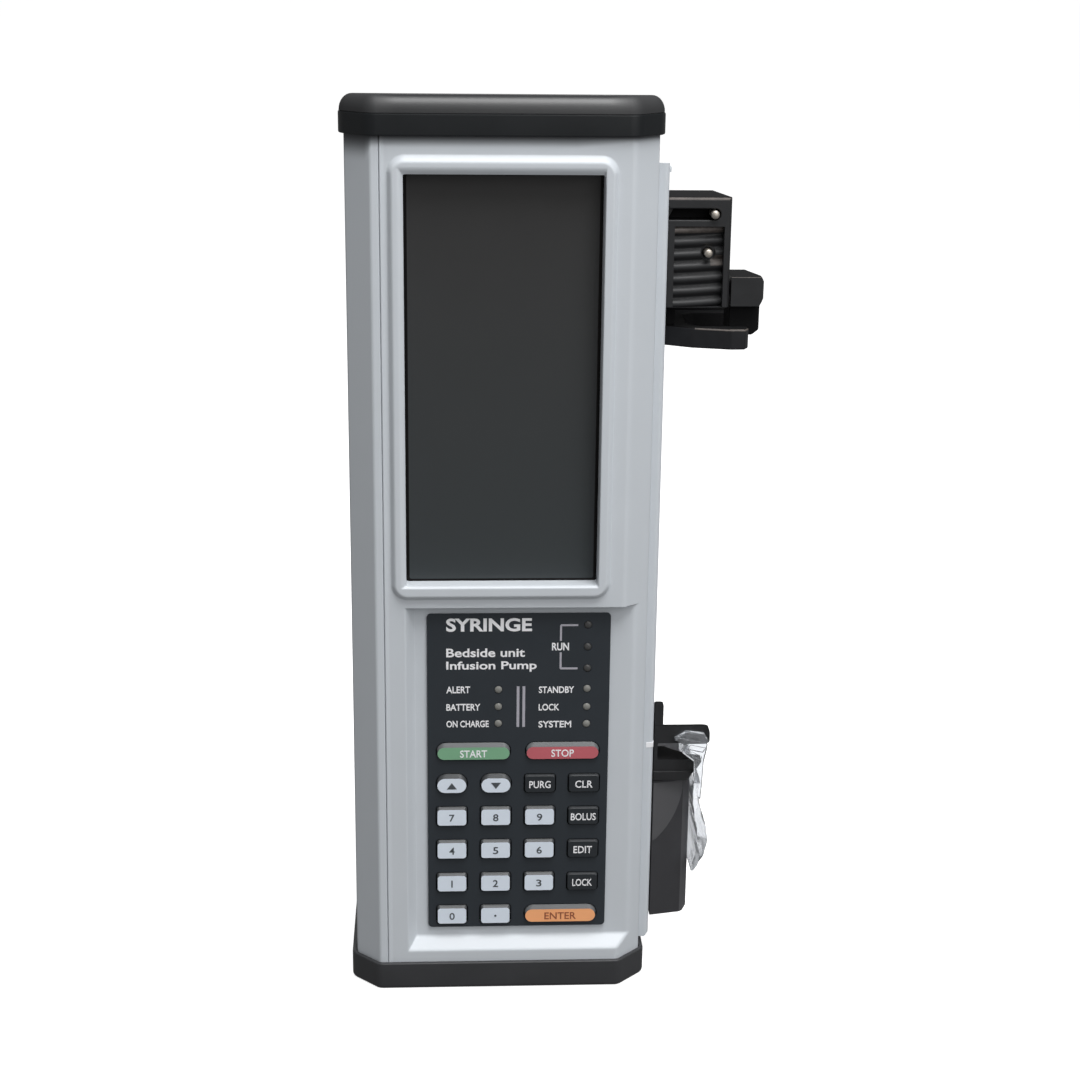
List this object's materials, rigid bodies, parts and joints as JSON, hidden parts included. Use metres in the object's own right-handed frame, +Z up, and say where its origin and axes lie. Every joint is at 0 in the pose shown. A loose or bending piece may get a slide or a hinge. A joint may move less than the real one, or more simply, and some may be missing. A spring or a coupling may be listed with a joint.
{
  "type": "syringe infusion pump",
  "caption": "Upright bedside syringe infusion pump with a tall display, a keypad and a driver, cradle and clear clamp on its right side.",
  "frame": {"origin": "centre of the underside of the boot that the pump stands on", "axes": "+X to the right of the front panel, towards the syringe drive; +Y to the back; +Z up"},
  "size_m": [0.1202, 0.0649, 0.2628],
  "materials": {
    "case_grey": "fine satin texture",
    "black_plastic": "satin",
    "soft_black": "soft matte",
    "screen_glass": "polished",
    "panel_film": "fine matte film",
    "light_key": "satin",
    "dark_key": "satin",
    "green_key": "satin",
    "red_key": "satin",
    "orange_key": "satin",
    "led_lens": "diffuse",
    "circuit_board": "coated",
    "steel": "bright",
    "brass": "machined",
    "aluminium": "anodised",
    "clear_plastic": "clear moulded plastic",
    "battery_wrap": "shrink wrap"
  },
  "bodies": {
    "pump_case": {"front_housing": "case_grey", "rear_housing": "case_grey", "top_cap": "soft_black", "bottom_boot": "soft_black", "track_cover": "case_grey", "rear_mount_plate": "aluminium", "battery_cover": "case_grey", "cover_screw_left": "steel", "cover_screw_right": "steel", "power_inlet": "black_plastic", "lcd_window": "screen_glass", "lcd_module": "black_plastic", "keypad_panel": "panel_film", "keypad_mat": "soft_black", "key_board": "circuit_board", "main_board": "circuit_board", "led_bar_left": "led_lens", "led_bar_right": "led_lens", "battery_pack": "battery_wrap", "sounder": "black_plastic", "drive_motor": "steel", "guide_rod": "steel", "upper_bearing_plate": "aluminium", "lower_bearing_plate": "aluminium", "barrel_cradle": "black_plastic", "flange_clip": "black_plastic"},
    "carriage": {"carriage": "aluminium", "driver_head": "black_plastic", "catch_pin": "steel", "pusher_plate": "black_plastic"},
    "plunger_catch": {"plunger_catch": "black_plastic"},
    "release_pin": {"release_pin": "steel"},
    "half_nut": {"half_nut": "brass"},
    "lead_screw": {"lead_screw": "steel", "screw_gear": "brass"},
    "motor_gear": {"motor_gear": "steel"},
    "barrel_clamp": {"barrel_clamp": "clear_plastic", "clamp_rod": "steel"},
    "key_start": {"key_start": "green_key"},
    "key_stop": {"key_stop": "red_key"},
    "key_up": {"key_up": "light_key"},
    "key_down": {"key_down": "light_key"},
    "key_purge": {"key_purge": "dark_key"},
    "key_clear": {"key_clear": "dark_key"},
    "key_7": {"key_7": "light_key"},
    "key_8": {"key_8": "light_key"},
    "key_9": {"key_9": "light_key"},
    "key_bolus": {"key_bolus": "dark_key"},
    "key_4": {"key_4": "light_key"},
    "key_5": {"key_5": "light_key"},
    "key_6": {"key_6": "light_key"},
    "key_edit": {"key_edit": "dark_key"},
    "key_1": {"key_1": "light_key"},
    "key_2": {"key_2": "light_key"},
    "key_3": {"key_3": "light_key"},
    "key_lock": {"key_lock": "dark_key"},
    "key_0": {"key_0": "light_key"},
    "key_point": {"key_point": "light_key"},
    "key_enter": {"key_enter": "orange_key"}
  },
  "joints": [
    {"name": "key_start_press", "type": "slide", "parent": "pump_case", "child": "key_start", "axis": [0, 1, 0], "range_m": [0, 0.0008], "stiffness_N_per_m": 400, "springref_m": -0.001},
    {"name": "key_stop_press", "type": "slide", "parent": "pump_case", "child": "key_stop", "axis": [0, 1, 0], "range_m": [0, 0.0008], "stiffness_N_per_m": 400, "springref_m": -0.001},
    {"name": "key_up_press", "type": "slide", "parent": "pump_case", "child": "key_up", "axis": [0, 1, 0], "range_m": [0, 0.0008], "stiffness_N_per_m": 400, "springref_m": -0.001},
    {"name": "key_down_press", "type": "slide", "parent": "pump_case", "child": "key_down", "axis": [0, 1, 0], "range_m": [0, 0.0008], "stiffness_N_per_m": 400, "springref_m": -0.001},
    {"name": "key_purge_press", "type": "slide", "parent": "pump_case", "child": "key_purge", "axis": [0, 1, 0], "range_m": [0, 0.0008], "stiffness_N_per_m": 400, "springref_m": -0.001},
    {"name": "key_clear_press", "type": "slide", "parent": "pump_case", "child": "key_clear", "axis": [0, 1, 0], "range_m": [0, 0.0008], "stiffness_N_per_m": 400, "springref_m": -0.001},
    {"name": "key_7_press", "type": "slide", "parent": "pump_case", "child": "key_7", "axis": [0, 1, 0], "range_m": [0, 0.0008], "stiffness_N_per_m": 400, "springref_m": -0.001},
    {"name": "key_8_press", "type": "slide", "parent": "pump_case", "child": "key_8", "axis": [0, 1, 0], "range_m": [0, 0.0008], "stiffness_N_per_m": 400, "springref_m": -0.001},
    {"name": "key_9_press", "type": "slide", "parent": "pump_case", "child": "key_9", "axis": [0, 1, 0], "range_m": [0, 0.0008], "stiffness_N_per_m": 400, "springref_m": -0.001},
    {"name": "key_bolus_press", "type": "slide", "parent": "pump_case", "child": "key_bolus", "axis": [0, 1, 0], "range_m": [0, 0.0008], "stiffness_N_per_m": 400, "springref_m": -0.001},
    {"name": "key_4_press", "type": "slide", "parent": "pump_case", "child": "key_4", "axis": [0, 1, 0], "range_m": [0, 0.0008], "stiffness_N_per_m": 400, "springref_m": -0.001},
    {"name": "key_5_press", "type": "slide", "parent": "pump_case", "child": "key_5", "axis": [0, 1, 0], "range_m": [0, 0.0008], "stiffness_N_per_m": 400, "springref_m": -0.001},
    {"name": "key_6_press", "type": "slide", "parent": "pump_case", "child": "key_6", "axis": [0, 1, 0], "range_m": [0, 0.0008], "stiffness_N_per_m": 400, "springref_m": -0.001},
    {"name": "key_edit_press", "type": "slide", "parent": "pump_case", "child": "key_edit", "axis": [0, 1, 0], "range_m": [0, 0.0008], "stiffness_N_per_m": 400, "springref_m": -0.001},
    {"name": "key_1_press", "type": "slide", "parent": "pump_case", "child": "key_1", "axis": [0, 1, 0], "range_m": [0, 0.0008], "stiffness_N_per_m": 400, "springref_m": -0.001},
    {"name": "key_2_press", "type": "slide", "parent": "pump_case", "child": "key_2", "axis": [0, 1, 0], "range_m": [0, 0.0008], "stiffness_N_per_m": 400, "springref_m": -0.001},
    {"name": "key_3_press", "type": "slide", "parent": "pump_case", "child": "key_3", "axis": [0, 1, 0], "range_m": [0, 0.0008], "stiffness_N_per_m": 400, "springref_m": -0.001},
    {"name": "key_lock_press", "type": "slide", "parent": "pump_case", "child": "key_lock", "axis": [0, 1, 0], "range_m": [0, 0.0008], "stiffness_N_per_m": 400, "springref_m": -0.001},
    {"name": "key_0_press", "type": "slide", "parent": "pump_case", "child": "key_0", "axis": [0, 1, 0], "range_m": [0, 0.0008], "stiffness_N_per_m": 400, "springref_m": -0.001},
    {"name": "key_point_press", "type": "slide", "parent": "pump_case", "child": "key_point", "axis": [0, 1, 0], "range_m": [0, 0.0008], "stiffness_N_per_m": 400, "springref_m": -0.001},
    {"name": "key_enter_press", "type": "slide", "parent": "pump_case", "child": "key_enter", "axis": [0, 1, 0], "range_m": [0, 0.0008], "stiffness_N_per_m": 400, "springref_m": -0.001},
    {"name": "carriage_slide", "type": "slide", "parent": "pump_case", "child": "carriage", "axis": [0, 0, 1], "range_m": [-0.105, 0.005]},
    {"name": "catch_swing", "type": "hinge", "parent": "carriage", "child": "plunger_catch", "pos_m": [0.0589, -0.0055, 0.2223], "axis": [0, -1, 0], "range_deg": [0, 25], "stiffness_Nm_per_rad": 0.08, "springref_deg": -20.05},
    {"name": "release_pin_slide", "type": "slide", "parent": "carriage", "child": "release_pin", "axis": [-1, 0, 0], "range_m": [0, 0.0101]},
    {"name": "half_nut_open", "type": "hinge", "parent": "carriage", "child": "half_nut", "pos_m": [0.028, 0.014, 0.2085], "axis": [0, 0, 1], "range_deg": [0, 8.2]},
    {"name": "lead_screw_spin", "type": "hinge", "parent": "pump_case", "child": "lead_screw", "pos_m": [0.028, -0.001, 0.014], "axis": [0, 0, 1], "continuous": true},
    {"name": "motor_gear_spin", "type": "hinge", "parent": "pump_case", "child": "motor_gear", "pos_m": [0.013, -0.001, 0.014], "axis": [0, 0, 1], "continuous": true},
    {"name": "clamp_pull", "type": "slide", "parent": "pump_case", "child": "barrel_clamp", "axis": [1, 0, 0], "range_m": [0, 0.014], "stiffness_N_per_m": 120, "springref_m": -0.01}
  ],
  "couplings": [
    {"joint": "lead_screw_spin", "follows": "carriage_slide", "rad_per_m": 1570.8},
    {"joint": "motor_gear_spin", "follows": "carriage_slide", "rad_per_m": -3141.6},
    {"joint": "release_pin_slide", "follows": "catch_swing", "m_per_rad": 0.022918},
    {"joint": "half_nut_open", "follows": "catch_swing", "ratio": 0.32}
  ]
}
